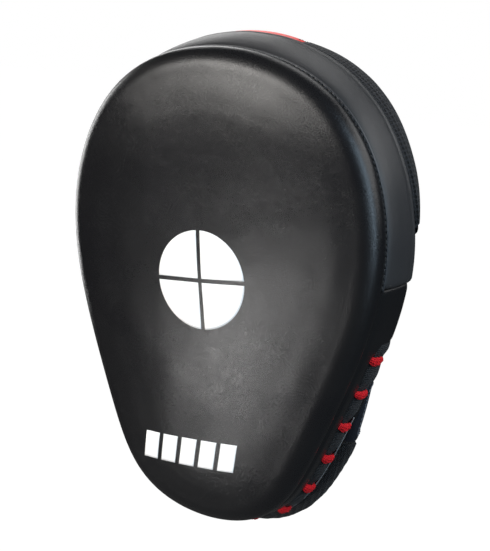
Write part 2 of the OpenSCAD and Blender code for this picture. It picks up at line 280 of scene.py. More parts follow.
# ---- materials ---------------------------------------------------------------------------
class Shader:
    """A small builder for procedural materials."""

    def __init__(self, name, color, roughness, **sockets):
        self.mat = bpy.data.materials.new(name)
        self.mat.use_nodes = True
        self.tree = self.mat.node_tree
        self.bsdf = self.tree.nodes["Principled BSDF"]
        self.bsdf.inputs["Base Color"].default_value = (*color, 1)
        self.bsdf.inputs["Roughness"].default_value = roughness
        for key, value in sockets.items():
            self.bsdf.inputs[key.replace("_", " ")].default_value = value
        self.height = None

    def node(self, kind, **props):
        n = self.tree.nodes.new(kind)
        for key, value in props.items():
            setattr(n, key, value)
        return n

    def link(self, a, b):
        self.tree.links.new(a, b)
        return b

    def coords(self, flow=False, scale=(1, 1, 1)):
        if flow:
            out = self.node("ShaderNodeAttribute", attribute_name="flow").outputs["Vector"]
        else:
            out = self.node("ShaderNodeTexCoord").outputs["Object"]
        m = self.node("ShaderNodeMapping")
        m.inputs["Scale"].default_value = scale
        self.link(out, m.inputs["Vector"])
        return m.outputs["Vector"]

    def noise(self, vector, scale, detail=4, rough=0.55, distortion=0.0):
        n = self.node("ShaderNodeTexNoise")
        n.inputs["Scale"].default_value = scale
        n.inputs["Detail"].default_value = detail
        n.inputs["Roughness"].default_value = rough
        n.inputs["Distortion"].default_value = distortion
        self.link(vector, n.inputs["Vector"])
        return n.outputs["Fac"]

    def cells(self, vector, scale, feature="F1", out="Distance", randomness=1.0):
        n = self.node("ShaderNodeTexVoronoi", feature=feature)
        n.inputs["Scale"].default_value = scale
        n.inputs["Randomness"].default_value = randomness
        self.link(vector, n.inputs["Vector"])
        return n.outputs[out]

    def wave(self, vector, scale, direction="X", distortion=0.0, profile="SIN"):
        n = self.node("ShaderNodeTexWave", bands_direction=direction, wave_profile=profile)
        n.inputs["Scale"].default_value = scale
        n.inputs["Distortion"].default_value = distortion
        n.inputs["Detail Scale"].default_value = 2.0
        self.link(vector, n.inputs["Vector"])
        return n.outputs["Fac"]

    def math(self, op, a, b=0.5, clamp=False):
        n = self.node("ShaderNodeMath", operation=op, use_clamp=clamp)
        for socket, value in zip(n.inputs, (a, b)):
            if hasattr(value, "is_output"):
                self.link(value, socket)
            else:
                socket.default_value = value
        return n.outputs[0]

    def ramp(self, value, low, high, a=0.0, b=1.0):
        n = self.node("ShaderNodeMapRange")
        self.link(value, n.inputs["Value"])
        for key, v in (("From Min", low), ("From Max", high), ("To Min", a), ("To Max", b)):
            n.inputs[key].default_value = v
        return n.outputs["Result"]

    def mix_color(self, value, a, b):
        n = self.node("ShaderNodeMix", data_type="RGBA")
        self.link(value, n.inputs["Factor"])
        for socket, v in ((n.inputs["A"], a), (n.inputs["B"], b)):
            if hasattr(v, "is_output"):
                self.link(v, socket)
            else:
                socket.default_value = (*v, 1)
        self.link(n.outputs["Result"], self.bsdf.inputs["Base Color"])
        return n.outputs["Result"]

    def roughness(self, value, low, high):
        self.link(self.ramp(value, 0.0, 1.0, low, high), self.bsdf.inputs["Roughness"])

    def bump(self, height, distance, strength=1.0):
        """Adds a bump; later bumps stack on earlier ones. distance is in millimetres."""
        n = self.node("ShaderNodeBump")
        n.inputs["Distance"].default_value = distance * MM
        n.inputs["Strength"].default_value = strength
        self.link(height, n.inputs["Height"])
        if self.height is not None:
            self.link(self.height, n.inputs["Normal"])
        self.height = n.outputs["Normal"]
        normal = self.bsdf.inputs["Normal"]
        for old in list(normal.links):
            self.tree.links.remove(old)
        self.link(self.height, normal)


def leather(name, color, worn, rough, grain=1400, creases=0.25, spec=0.5):
    """Coated leather: fine pebble grain, shallow creases, random patches of polish and slightly lighter
    worn tone.
    """
    s = Shader(name, color, 0.4, Specular_IOR_Level=spec)
    v = s.coords()
    pebble = s.cells(v, grain, "DISTANCE_TO_EDGE")
    pebble = s.ramp(pebble, 0.0, 0.25)
    fine = s.noise(v, grain * 1.6, 3)
    long = s.noise(s.coords(scale=(1, 1, 2.2)), 95, 6, 0.62, 0.8)
    crease = s.ramp(s.math("ABSOLUTE", s.math("SUBTRACT", long, 0.5)), 0.0, 0.05)
    patches = s.noise(v, 16, 3)
    s.mix_color(s.ramp(patches, 0.35, 0.75), color, worn)
    s.roughness(s.math("ADD", s.math("MULTIPLY", patches, 0.6), s.math("MULTIPLY", fine, 0.4)),
                rough - 0.07, rough + 0.09)
    s.bump(patches, 0.35, 0.5)
    s.bump(crease, 0.05, creases)
    s.bump(pebble, 0.05, 0.5)
    s.bump(fine, 0.03, 0.35)
    return s.mat


def air_mesh(name):
    """Spacer mesh: rows of round holes in a knitted black skin."""
    s = Shader(name, (0.008, 0.008, 0.009), 0.75, Specular_IOR_Level=0.3, Sheen_Weight=0.06)
    v = s.coords(flow=True, scale=(1, 1.15, 1))
    hole = s.cells(v, 480, randomness=0.0)
    knit = s.wave(s.coords(flow=True), 900, "DIAGONAL", 1.0)
    open_ = s.ramp(hole, 0.26, 0.42)
    s.mix_color(open_, (0.0008, 0.0008, 0.0008), (0.015, 0.015, 0.017))
    s.roughness(s.noise(v, 300), 0.62, 0.85)
    s.bump(open_, 0.5, 0.9)
    s.bump(knit, 0.08, 0.5)
    return s.mat


def ribbed(name):
    """Ribbed elastic webbing: fine ribs across the strip."""
    s = Shader(name, (0.006, 0.006, 0.007), 0.75, Specular_IOR_Level=0.25, Sheen_Weight=0.06)
    flow = s.coords(flow=True)
    ribs = s.wave(flow, 300, "X", 0.8)
    threads = s.wave(flow, 420, "Y", 0.4)
    weave = s.math("MULTIPLY", ribs, s.math("ADD", s.math("MULTIPLY", threads, 0.5), 0.5))
    s.mix_color(weave, (0.001, 0.001, 0.0012), (0.026, 0.026, 0.029))
    s.roughness(s.noise(flow, 400), 0.6, 0.85)
    s.bump(weave, 0.5, 1.0)
    return s.mat


def herringbone(name):
    """Woven cushion mesh: crossing diagonal yarns in zigzag rows."""
    s = Shader(name, (0.006, 0.006, 0.007), 0.75, Specular_IOR_Level=0.25, Sheen_Weight=0.06)
    base = s.coords()
    split = s.node("ShaderNodeSeparateXYZ")
    s.link(base, split.inputs[0])
    x, y, z = split.outputs
    across = s.math("ADD", x, y)
    zig = s.math("PINGPONG", across, 0.0022)
    warp = s.math("SINE", s.math("MULTIPLY", s.math("ADD", z, zig), 4200))
    weft = s.math("SINE", s.math("MULTIPLY", across, 2850))
    yarn = s.math("ADD", s.math("MULTIPLY", warp, 0.35), s.math("MULTIPLY", weft, 0.15))
    yarn = s.math("ADD", yarn, 0.5)
    s.mix_color(yarn, (0.001, 0.001, 0.0011), (0.016, 0.016, 0.018))
    s.roughness(s.noise(base, 300), 0.6, 0.85)
    s.bump(yarn, 0.4, 1.0)
    return s.mat


def cord_red(name):
    """Braided red cord with loose fibres."""
    s = Shader(name, (0.5, 0.01, 0.014), 0.75, Specular_IOR_Level=0.2, Sheen_Weight=0.12,
               Sheen_Tint=(1, 0.2, 0.2, 1))
    flow = s.coords(flow=True)
    braid = s.wave(flow, 620, "DIAGONAL", 2.5)
    fibre = s.noise(s.coords(flow=True, scale=(1, 0.25, 1)), 2600, 4, 0.7)
    worn = s.noise(s.coords(), 180, 3)
    body = s.math("ADD", s.math("MULTIPLY", braid, 0.6), s.math("MULTIPLY", fibre, 0.5))
    s.mix_color(body, (0.3, 0.002, 0.006), (0.8, 0.01, 0.018))
    s.roughness(worn, 0.6, 0.85)
    s.bump(braid, 0.3, 0.7)
    s.bump(fibre, 0.2, 0.9)
    return s.mat


def coated_fabric(name, dark, light, scale=1500):
    """Smooth tightly woven cloth with a faint sheen."""
    s = Shader(name, light, 0.5, Sheen_Weight=0.15, Sheen_Roughness=0.4)
    flow = s.coords(flow=True)
    warp = s.wave(flow, scale * 0.35, "X", 0.2)
    weft = s.wave(flow, scale * 0.35, "Y", 0.2)
    weave = s.math("MULTIPLY", warp, weft)
    patches = s.noise(s.coords(), 25, 3)
    s.mix_color(s.math("ADD", s.math("MULTIPLY", weave, 0.35), s.math("MULTIPLY", patches, 0.65)),
                dark, light)
    s.roughness(patches, 0.42, 0.6)
    s.bump(weave, 0.06, 0.6)
    s.bump(patches, 0.25, 0.4)
    return s.mat


def print_ink(name):
    """White transfer ink: matt, faintly mottled, with the leather's grain showing through."""
    s = Shader(name, (0.88, 0.88, 0.88), 0.55)
    v = s.coords()
    grain = s.ramp(s.cells(v, 1400, "DISTANCE_TO_EDGE"), 0.0, 0.25)
    mottle = s.noise(v, 60, 4)
    s.mix_color(s.ramp(mottle, 0.3, 0.7), (0.83, 0.83, 0.83), (0.93, 0.93, 0.93))
    s.roughness(mottle, 0.5, 0.62)
    s.bump(grain, 0.03, 0.4)
    return s.mat


def thread(name, color):
    s = Shader(name, color, 0.6, Sheen_Weight=0.2)
    v = s.coords()
    twist = s.wave(v, 1500, "DIAGONAL", 0.5)
    s.mix_color(twist, tuple(0.6 * c for c in color), tuple(min(1, 1.3 * c) for c in color))
    s.roughness(s.noise(v, 900), 0.5, 0.7)
    s.bump(twist, 0.08, 0.8)
    return s.mat


def hook_tape(name):
    """Hook-and-loop tape: a dense field of tiny curls."""
    s = Shader(name, (0.012, 0.012, 0.013), 0.8, Sheen_Weight=0.3, Sheen_Roughness=0.6)
    v = s.coords()
    curls = s.cells(v, 1300)
    fuzz = s.noise(v, 2400, 3)
    s.mix_color(curls, (0.03, 0.03, 0.032), (0.004, 0.004, 0.004))
    s.roughness(fuzz, 0.7, 0.95)
    s.bump(curls, 0.4, 0.9)
    s.bump(fuzz, 0.15, 0.6)
    return s.mat


def foam(name, color, cell=900):
    """Cut foam: open cells in a matt body."""
    s = Shader(name, color, 0.9)
    v = s.coords()
    pores = s.cells(v, cell)
    s.mix_color(pores, tuple(0.55 * c for c in color), color)
    s.roughness(s.noise(v, 200), 0.8, 0.95)
    s.bump(pores, 0.5, 0.8)
    return s.mat


FACE_LEATHER = leather("face_leather", (0.006, 0.006, 0.007), (0.009, 0.009, 0.0095), 0.27,
                       spec=0.34)
GUSSET_LEATHER = leather("gusset_leather", (0.02, 0.02, 0.0215), (0.026, 0.026, 0.027), 0.44,
                         grain=1900, creases=0.1, spec=0.4)
STRAP_LEATHER = leather("strap_leather", (0.007, 0.009, 0.014), (0.012, 0.014, 0.02), 0.38,
                        grain=1500)
PIPING = leather("piping_leather", (0.02, 0.021, 0.024), (0.035, 0.036, 0.04), 0.34,
                 grain=2400, creases=0.05)
# Light grey leather for the tube along the rear binding's front edge: a painted highlight of the folded
# edge, not a lighter part
EDGE_PAINTED_HIGHLIGHT = leather("painted_edge_highlight", (0.16, 0.165, 0.17), (0.24, 0.245, 0.25), 0.4,
                    grain=2400, creases=0.05)
TAB_LEATHER = leather("tab_leather", (0.36, 0.012, 0.014), (0.42, 0.02, 0.02), 0.42)
AIR_MESH = air_mesh("air_mesh")
RIBBED = ribbed("ribbed_webbing")
HERRINGBONE = herringbone("herringbone_mesh")
RED_CORD = cord_red("red_cord")
RED_PANEL = coated_fabric("red_panel", (0.72, 0.018, 0.012), (0.86, 0.035, 0.02))
LINING = coated_fabric("lining_cloth", (0.012, 0.012, 0.013), (0.024, 0.024, 0.027), 1100)
PRINT = print_ink("white_print")
BLACK_THREAD = thread("black_thread", (0.008, 0.008, 0.009))
GREY_THREAD = thread("grey_thread", (0.09, 0.1, 0.12))
HOOK = hook_tape("hook_tape")
SOFT_FOAM = foam("soft_foam", (0.7, 0.66, 0.55))
EVA_FOAM = foam("eva_foam", (0.05, 0.05, 0.055), 1600)
BOARD = coated_fabric("shock_sheet", (0.55, 0.56, 0.58), (0.68, 0.69, 0.7), 300)

for node, material in {
        "face_foam": SOFT_FOAM, "core_foam": EVA_FOAM, "shock_board": BOARD, "rear_foam": EVA_FOAM,
        "wrist_cushion_foam": EVA_FOAM}.items():
    ob = frame["nodes"][node]
    ob.data.materials.clear()
    ob.data.materials.append(material)

# ---- strike face and wrapped lower side --------------------------------------------------
# Inset and depth of points over the face's rolled edge, from the seam inwards.
EDGE_ROLL = [(-0.1, -26.7), (-0.6, -28.4), (-0.4, -30.6), (0.9, -33.1), (3.2, -35.3), (7, -37.3),
             (13, -38.6), (21, -40.1), (30, -41.4)]
SIDE_ROWS, ROLL_ROWS, MIDDLE_ROWS = 16, 34, 26
FACE_CENTRE = np.array([0.0, 0.0, 6.0])
FACE_DOME = 4.2                # rise of the face's middle over its edge
COVER_FRONT = -25.4            # depth at which the side wall meets the rolled edge


def all_turns():
    """Turns round the whole outline, with close pairs at the cross seams."""
    pair = 0.12
    upper = np.linspace(-CROSS_TURN, CROSS_TURN, 241)
    lower = np.linspace(CROSS_TURN + pair, 360 - CROSS_TURN - pair, 321)
    return np.concatenate([upper, lower])


def wrap_back(turn):
    """Depth of the wrapped leather's rear edge."""
    u = np.where(turn > 180, 360 - turn, abs(turn))
    return -0.5 + (STRIP_FRONT + 0.3) * smooth01((u - STRIP_TURN) / (STRIP_FULL - STRIP_TURN))


def soft_noise(p, size, amount):
    """Smooth noise at each point, with bumps of about the given size."""
    values = np.array([noise.noise(Vector(q) / size) for q in p.reshape(-1, 3)])
    return amount * values.reshape(p.shape[:-1])


def face_cover():
    """One leather skin: a domed face that turns over the edge and wraps the lower side wall."""
    turns = all_turns()
    upper = (turns <= CROSS_TURN)[:, None]
    q = np.linspace(1, 0, SIDE_ROWS)[None]
    back = wrap_back(turns)[:, None]
    tuck = smooth01((q - 0.93) / 0.07)
    to_seam = np.minimum(abs(turns - CROSS_TURN), abs(360 - CROSS_TURN - turns))[:, None]
    end = smooth01((6 - to_seam * 2) / 6)
    side_inset = 0.35 - 0.95 * np.sin(np.pi * np.clip(q * 1.02, 0, 1)) ** 0.6 + 2.0 * tuck + 0.6 * end ** 6
    side_y = COVER_FRONT + (back - COVER_FRONT) * q
    tuck_inset = 0.5 + 1.9 * q
    tuck_y = COVER_FRONT - 0.2 + 1.6 * q
    depth = np.array([noise.noise(Vector((t / 9, 3.1, 0))) for t in turns])[:, None]
    crease = (0.75 + 0.5 * depth) * np.exp(-((side_y + 24.0) / 0.7) ** 2)
    side = rim(turns[:, None], np.where(upper, tuck_inset, side_inset + crease),
               np.where(upper, tuck_y, side_y))
    section = spline([(0.35, COVER_FRONT)] + EDGE_ROLL, ROLL_ROWS)[1:]
    fold = np.where(upper, 0, (0.9 + 0.5 * depth) * np.exp(-((section[None, :, 1] + 26.6) / 0.8) ** 2))
    roll = rim(turns[:, None], section[None, :, 0] + fold, section[None, :, 1])
    edge = roll[:, -1]
    v = np.linspace(1, 0, MIDDLE_ROWS, endpoint=False)[1:]
    middle = FACE_CENTRE + v[None, :, None] * (edge - FACE_CENTRE)[:, None]
    middle[..., 1] = edge[:, None, 1] - FACE_DOME * (1 - v[None] ** 2)
    p = np.concatenate([side, roll, middle], axis=1)[:, ::-1]
    on_face = smooth01((-31 - p[..., 1]) / 6)
    p[..., 1] += on_face * (soft_noise(p, 46, 0.55) + soft_noise(p + 90, 15, 0.12))
    verts = np.vstack([p.reshape(-1, 3), [0, edge[0, 1] - FACE_DOME, FACE_CENTRE[2]]])
    rows, cols = p.shape[:2]
    faces = grid_faces(rows, cols, wrap_rows=True)
    hub = rows * cols
    faces += [[hub, ((i + 1) % rows) * cols, i * cols] for i in range(rows)]
    ob = make("strike_cover", verts, faces, FACE_LEATHER, "pad")
    thicken(ob, 0.9)
    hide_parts("strike_face_cover")
    return ob


def surface_tree(ob):
    bm = bmesh.new()
    bm.from_mesh(ob.data)
    tree = BVHTree.FromBMesh(bm)
    bm.free()
    return tree


FACE_TREE = surface_tree(face_cover())


def on_face(x, z, lift=0.12):
    """The point on the strike face in front of x and z."""
    hit = FACE_TREE.ray_cast(Vector((x * MM, -0.2, z * MM)), Vector((0, 1, 0)))[0]
    return np.array(hit) / MM + np.array([0, -lift, 0])


# Profiles below hold inset and depth, from the front edge to the rear one.
GUSSET_PROFILE = [(2.6, -24.2), (1.5, -24.3), (0.6, -23.8), (-0.3, -22.6), (-1.1, -20.4), (-1.7, -16.5),
                  (-1.8, -11), (-1.5, -6.5), (-1.0, -4.3), (-0.75, -3.4), (-0.95, -2.6), (-0.9, -1.4),
                  (0.0, -0.4), (2.2, -0.1)]


def gusset():
    """The upper leather band, bowed between its seams and folded over at the rear."""
    turns = np.linspace(-CROSS_TURN, CROSS_TURN, 261)
    p = side_grid(turns, spline(GUSSET_PROFILE, 44))
    pull = smooth01((abs(turns) - CROSS_TURN + 1.6) / 1.6) ** 3
    push_out(p, turns, -1.6 * pull[:, None])
    push_out(p, turns, soft_noise(p, 22, 0.35))
    ob = sheet("side_gusset_leather", p, GUSSET_LEATHER, "pad", 0.9)
    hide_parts("side_gusset")


def front_seam():
    """Piping and a row of stitches along the gusset's front edge."""
    turns = np.linspace(-CROSS_TURN, CROSS_TURN, 241)
    piping = tubes("seam_piping", [tube_grid(rim(turns, -0.35, SEAM_Y), REARWARD, 0.6, 0.6, 10)],
                   PIPING, "pad")
    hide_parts("front_seam_piping")
    nx, nz = outward(turns)
    out = np.stack([nx, -0.25 + 0 * nx, nz], -1)
    stitches("seam_stitches", [(rim(turns, -0.25, -26.35), out)], BLACK_THREAD, "pad", 2.9, 2.1, 0.36)


def cross_seams():
    """A row of stitches across each end of the gusset."""
    lines = []
    y = np.linspace(-21.5, -3.5, 20)
    bow = 0.25 * np.sin(np.pi * (y + 24) / 24)
    for side in (-1, 1):
        end = np.full(20, side * (CROSS_TURN - 1.1))
        ox, oz = outward(end)
        lines.append((rim(end, -1.0 - bow, y), np.stack([ox, 0 * ox, oz], -1)))
    stitches("cross_seam_stitches", lines, BLACK_THREAD, "pad", 2.9, 2.0, 0.24, 0.15)


gusset()
front_seam()
cross_seams()

# ---- laced strip, lacing and rear binding ------------------------------------------------
LACE_COUNT = 15
FIRST_LACE = turn_at(-17)
_turn = np.linspace(FIRST_LACE, 360 - FIRST_LACE, 1200)
_run = run_along(np.stack(outline(_turn), -1))
LACE_TURNS = np.interp(np.linspace(0, _run[-1], LACE_COUNT), _run, _turn)
LACE_PITCH = _run[-1] / (LACE_COUNT - 1)
STRIP_PROFILE = [(2.6, -15.6), (1.7, -14.3), (0.9, -12.6), (0.5, -9.4), (0.7, -6.6), (1.5, -4.8),
                 (2.4, -4.2)]
LACE_WAY = [(1.8, -15.8), (0.3, -14.9), (-0.6, -13.6), (-1.0, -11.6), (-1.05, -9.2), (-0.8, -7.2),
            (-0.3, -5.8), (0.6, -5.0), (2.2, -4.6)]
BINDING_PROFILE = [(2.4, -4.1), (1.0, -4.0), (0.1, -3.4), (-0.25, -2.2), (0, -0.9), (1.2, -0.1),
                   (4.2, 0.1)]


def lace_strip():
    """Ribbed webbing that bulges between the stitches; its upper ends fold over and reach the rear."""
    turns = np.linspace(STRIP_TURN + 1, 360 - STRIP_TURN - 1, 700)
    down = np.where(turns > 180, 360 - turns, turns)
    rows = spline(STRIP_PROFILE, 24)
    low = smooth01((down - turn_at(-30)) / (turn_at(-54) - turn_at(-30)))
    back = smooth01((rows[:, 1] + 12) / 8)
    depth = rows[None, :, 1] + 3.7 * (1 - low[:, None]) * back[None]
    p = rim(turns[:, None], rows[None, :, 0], depth)
    phase = np.interp(turns, _turn, _run) / LACE_PITCH
    puff = 0.5 - 0.5 * np.cos(2 * np.pi * phase)
    across = np.sin(np.pi * np.linspace(0, 1, 24)) ** 0.7
    top = np.exp(-((down - turn_at(-11.5)) / 2.2) ** 2)
    swell = (2.5 * puff[:, None] ** 0.6 - 0.2 + 2.2 * top[:, None]) * across
    push_out(p, turns, swell)
    ob = sheet("ribbed_strip", p, RIBBED, "pad", 0.8)
    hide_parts("lace_strip")


def lacing():
    """One flattened tuft of braided cord per stitch: a straight upper edge and a sagging lower one."""
    parts = []
    s = np.linspace(0, 1, 44)
    phi = np.linspace(0, 2 * np.pi, 48, endpoint=False)
    way = spline(LACE_WAY, 44)
    for turn in LACE_TURNS:
        lean = 1.3 * math.sin(math.radians(turn)) + rng.uniform(-0.35, 0.35)
        path = rim(turn + lean * (s - 0.5), way[:, 0], way[:, 1])
        ox, oz = outward(turn)
        out = np.array([ox, 0.0, oz])
        side, lift = frames(path, out[None])
        run = np.array([-oz, 0.0, ox]) * (-1 if turn <= 180 else 1)
        down = np.cos(phi)[None] * np.sign(side[22] @ run)
        ends = np.minimum(1, np.minimum(s, 1 - s) / 0.14) ** 0.5
        peak = rng.uniform(0.85, 1.25)
        sag = np.sin(np.pi * s ** peak) ** 0.8
        lower = rng.uniform(2.6, 3.2) * (0.3 + 0.75 * sag)
        upper = rng.uniform(1.3, 1.7) * (0.45 + 0.4 * ends + 0.45 * sag)
        wide = np.where(down > 0, lower[:, None], upper[:, None])
        wide = wide * (1 + 0.1 * np.abs(np.cos(3.5 * phi + 5 * s[:, None])))
        thick = (0.55 + 0.75 * ends * (0.6 + 0.4 * sag))[:, None]
        thick = thick * (1 + 0.12 * np.cos(9 * phi + 7 * s[:, None]))
        p = (path[:, None] + side[:, None] * (np.cos(phi) * wide)[..., None]
             + lift[:, None] * (np.sin(phi) * thick)[..., None])
        fray = soft_noise(p, 1.3, 0.42) + soft_noise(p + 40, 0.6, 0.2)
        tuft = soft_noise(p + 17, 1.1, 0.4)
        p = p + tuft[..., None] * out + side[:, None] * (fray * np.cos(phi))[..., None]
        parts.append(p)
    ob = tubes("red_lace_stitches", parts, RED_CORD, "pad")
    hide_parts("red_lacing")


def rear_edge():
    """Leather binding behind the laced strip; the light-grey tube along its front edge is a painted
    highlight of the folded edge.
    """
    turns = np.linspace(turn_at(-40), 360 - turn_at(-40), 420)
    binding = sheet("rear_edge_binding", side_grid(turns, spline(BINDING_PROFILE, 16)),
                    FACE_LEATHER, "pad", 0.7)
    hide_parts("rear_binding")
    # Painted highlight: a light-grey tube where the binding's folded edge catches the light
    turns = np.linspace(turn_at(-52), 360 - turn_at(-52), 360)
    line = tubes("rear_edge_painted_highlight", [tube_grid(rim(turns, -0.1, -4.0), REARWARD, 0.42, 0.42, 8)],
                 EDGE_PAINTED_HIGHLIGHT, "pad")


lace_strip()
lacing()
rear_edge()

# ---- prints ------------------------------------------------------------------------------
PRINT_TURN = math.radians(7)
TARGET_MID, TARGET_RADIUS, TARGET_GAP = (0.2, 15.6), 25.6, 2.2
STRIPE_MID, STRIPE_LENGTH, STRIPE_HEIGHT, STRIPE_LEAN, STRIPE_COUNT = (-3.6, -81.0), 65.0, 16.0, 4.0, 5


def print_patches(name, grids, middle, node):
    """Thin ink patches laid on the face; each grid holds flat x and z before the print's turn."""
    verts, faces, start = [], [], 0
    c, s = math.cos(PRINT_TURN), math.sin(PRINT_TURN)
    for g in grids:
        x = middle[0] + g[..., 0] * c - g[..., 1] * s
        z = middle[1] + g[..., 0] * s + g[..., 1] * c
        p = np.array([on_face(a, b) for a, b in zip(x.ravel(), z.ravel())])
        rows, cols = g.shape[:2]
        verts.append(p)
        faces += grid_faces(rows, cols, start=start)
        start += rows * cols
    ob = make(name, np.vstack(verts), faces, PRINT, "pad")
    if ob.data.polygons[0].normal.y > 0:
        ob.data.flip_normals()
    thicken(ob, 0.1)
    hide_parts(node)


def quadrant(k):
    """One quarter of the target, with straight edges half a gap from the cross."""
    gap = TARGET_GAP / 2
    limit = math.asin(gap / TARGET_RADIUS)
    a = np.linspace(limit, math.pi / 2 - limit, 28)
    edge = TARGET_RADIUS * np.stack([np.cos(a), np.sin(a)], -1)
    corner = np.array([gap, gap])
    g = corner + np.linspace(0.001, 1, 16)[None, :, None] * (edge - corner)[:, None]
    c, s = math.cos(k * math.pi / 2), math.sin(k * math.pi / 2)
    return np.stack([g[..., 0] * c - g[..., 1] * s, g[..., 0] * s + g[..., 1] * c], -1)


def stripe_block(k):
    pitch = (STRIPE_LENGTH - STRIPE_LEAN) / STRIPE_COUNT
    u = np.linspace(0, 0.78 * pitch, 12)[:, None] + k * pitch - STRIPE_LENGTH / 2
    v = np.linspace(0, 1, 14)[None]
    return np.stack([u + STRIPE_LEAN * v, (v - 0.5) * STRIPE_HEIGHT + 0 * u], -1)


print_patches("target_quarters", [quadrant(k) for k in range(4)], TARGET_MID, "target_print")
print_patches("stripe_blocks", [stripe_block(k) for k in range(STRIPE_COUNT)], STRIPE_MID, "stripe_print")

# ---- rear panel, palm ball ---------------------------------------------------------------
BALL_Z, BALL_RADIUS, BALL_RISE = 2.0, 21.6, 18.0
CHANNEL_X = 34                 # stitched channels down both sides of the palm


def rear_panel():
    """The palm lining: gently quilted, with a stitched channel down each side of the palm."""
    turns = np.linspace(0, 360, 240, endpoint=False)
    v = np.concatenate([[1.0, 0.995, 0.985, 0.97], np.linspace(0.95, 0.02, 46)])
    edge = rim(turns, 1.9, 0)
    centre = np.array([0.0, 0.0, 2.0])
    p = centre + v[None, :, None] * (edge - centre)[:, None]
    near = np.minimum(abs(p[..., 0] - CHANNEL_X), abs(p[..., 0] + CHANNEL_X))
    channel = np.exp(-(near / 2.6) ** 2)
    rise = 1.5 * smooth01((1 - v[None]) / 0.06) * (1 - 0.85 * channel)
    p[..., 1] = 0.25 + rise + soft_noise(p, 30, 0.25)
    p[:, 0, 1] = -1.4       # the raw edge is tucked behind the side wall
    verts = np.vstack([p.reshape(-1, 3), [0, 1.7, centre[2]]])
    rows, cols = p.shape[:2]
    faces = grid_faces(rows, cols, wrap_rows=True)
    last = cols - 1
    faces += [[i * cols + last, ((i + 1) % rows) * cols + last, rows * cols] for i in range(rows)]
    flow = np.stack([verts[:, 0], verts[:, 2], verts[:, 1]], -1)
    ob = make("palm_lining", verts, faces, LINING, "pad", flow)
    outward_faces(ob)
    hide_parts("rear_panel")
    z = np.linspace(-62, 44, 60)
    lines = [(np.stack([x + 0 * z, 0.75 + 0 * z, z], -1), REARWARD[0]) for x in (-CHANNEL_X, CHANNEL_X)]
    stitches("palm_stitches", lines, BLACK_THREAD, "pad", 3.4, 2.4, 0.35, 0.0)


rear_panel()


def palm_ball():
    """Leather-covered ball in three gores, standing on a welt."""
    a = np.linspace(0, 2 * np.pi, 96, endpoint=False)
    h = np.linspace(0, 1, 26)
    lean = 1 - 0.055 * np.exp(-((np.mod(a + 0.5, 2 * np.pi / 3) - np.pi / 3) / 0.06) ** 2)
    radius = BALL_RADIUS * np.cos(h * np.pi / 2) ** 0.85
    lift = 0.6 + BALL_RISE * np.sin(h * np.pi / 2)
    r = radius[None] * (1 + (lean[:, None] - 1) * np.sin(np.pi * np.clip(h * 0.9 + 0.1, 0, 1))[None])
    p = np.stack([r * np.cos(a)[:, None], lift[None] + 0 * r, BALL_Z - r * np.sin(a)[:, None]], -1)
    ob = sheet("palm_ball_cover", p, GUSSET_LEATHER, "pad", wrap_rows=True)
    outward_faces(ob)
    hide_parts("palm_ball")
    ring = np.linspace(0, 2 * np.pi, 97)
    foot = BALL_RADIUS + 1.0
    path = np.stack([foot * np.cos(ring), 1.9 + 0 * ring, BALL_Z + foot * np.sin(ring)], -1)
    tubes("ball_welt", [tube_grid(path, REARWARD, 1.1, 0.9, 10)], PIPING, "pad")


palm_ball()

# ---- hood --------------------------------------------------------------------------------
MOUTH_Z, HOOD_HEIGHT = 50.0, 38.0
MOUTH_FULLNESS, SIDE_FULLNESS = 1.7, 3.0
HOOD_TURN = turn_at(MOUTH_Z) - 0.9
HOOD_HALF = half_width_at(MOUTH_Z) + 0.3
CENTRE_TURN = math.degrees(math.asin(21.5 / (HALF_WIDTH * 1.27)))   # half the red panel
# How far the padding stands out past the pad's edge, at turn angles round the hood.
PROUD_AT = [-30, -8, 2, 9, 30], [1.7, 0.9, 0.5, 0.0, 1.7]


def hood_arch(turn, skin):
    """How far the hood stands off the rear panel, seen from the mouth."""
    x = abs(rim(turn, skin, 0)[..., 0]) / (HOOD_HALF - skin)
    return (HOOD_HEIGHT - skin) * np.maximum(0, 1 - x ** MOUTH_FULLNESS) ** (1 / MOUTH_FULLNESS)


def hood_point(turn, lift, skin):
    """A point on the hood: lift is 90 at the pad's edge and 0 at the mouth, skin a depth inwards."""
    turn, lift, skin = np.broadcast_arrays(turn, lift, skin)
    base = rim(turn, skin, 0)
    a = np.radians(lift)
    out, up = (np.clip(f(a), 0, 1) ** (2 / SIDE_FULLNESS) for f in (np.cos, np.sin))
    z = MOUTH_Z + (base[..., 2] - MOUTH_Z) * up
    return np.stack([base[..., 0], 0.2 + hood_arch(turn, skin) * out, z], -1)


def hood_panel(name, start, end, count, material, node, groove_start, groove_end, puff):
    """One padded panel of the hood, drawn in along its seams; it stands less proud at the middle."""
    turns = np.linspace(start, end, count)
    lifts = np.linspace(90, 0, 60)
    grid = hood_point(turns[:, None], lifts[None], 0.0)
    run = run_along(grid[:, 40])
    seam = 0 * run
    if groove_start:
        seam += np.exp(-(run / 1.6) ** 2)
    if groove_end:
        seam += np.exp(-((run[-1] - run) / 1.6) ** 2)
    base_seam = np.exp(-((90 - lifts) / 2.2) ** 2)
    across = np.sin(np.pi * np.clip(run / run[-1], 0, 1)) ** 0.6
    proud = smooth01((90 - lifts) / 6) * smooth01((lifts - 25) / 40)
    proud = proud[None] * np.interp(turns, *PROUD_AT)[:, None]
    skin = (0.9 * seam[:, None] + 0.4 * base_seam[None] - proud * (1 - 0.5 * seam[:, None])
            - puff * across[:, None] * np.sin(np.radians(lifts * 2))[None])
    p = hood_point(turns[:, None], lifts[None], skin)
    p += soft_noise(p, 24, 0.3)[..., None] * np.array([0.3, 0.9, 0.3])
    ob = sheet(name, p, material, "pad", 2.6)
    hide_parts(node)


def hood_lining():
    turns = np.linspace(-HOOD_TURN, HOOD_TURN, 140)
    lifts = np.linspace(89, 0, 40)
    ob = sheet("hood_inner_lining", hood_point(turns[:, None], lifts[None], 3.9), LINING, "pad", 0.6)
    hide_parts("hood_lining")


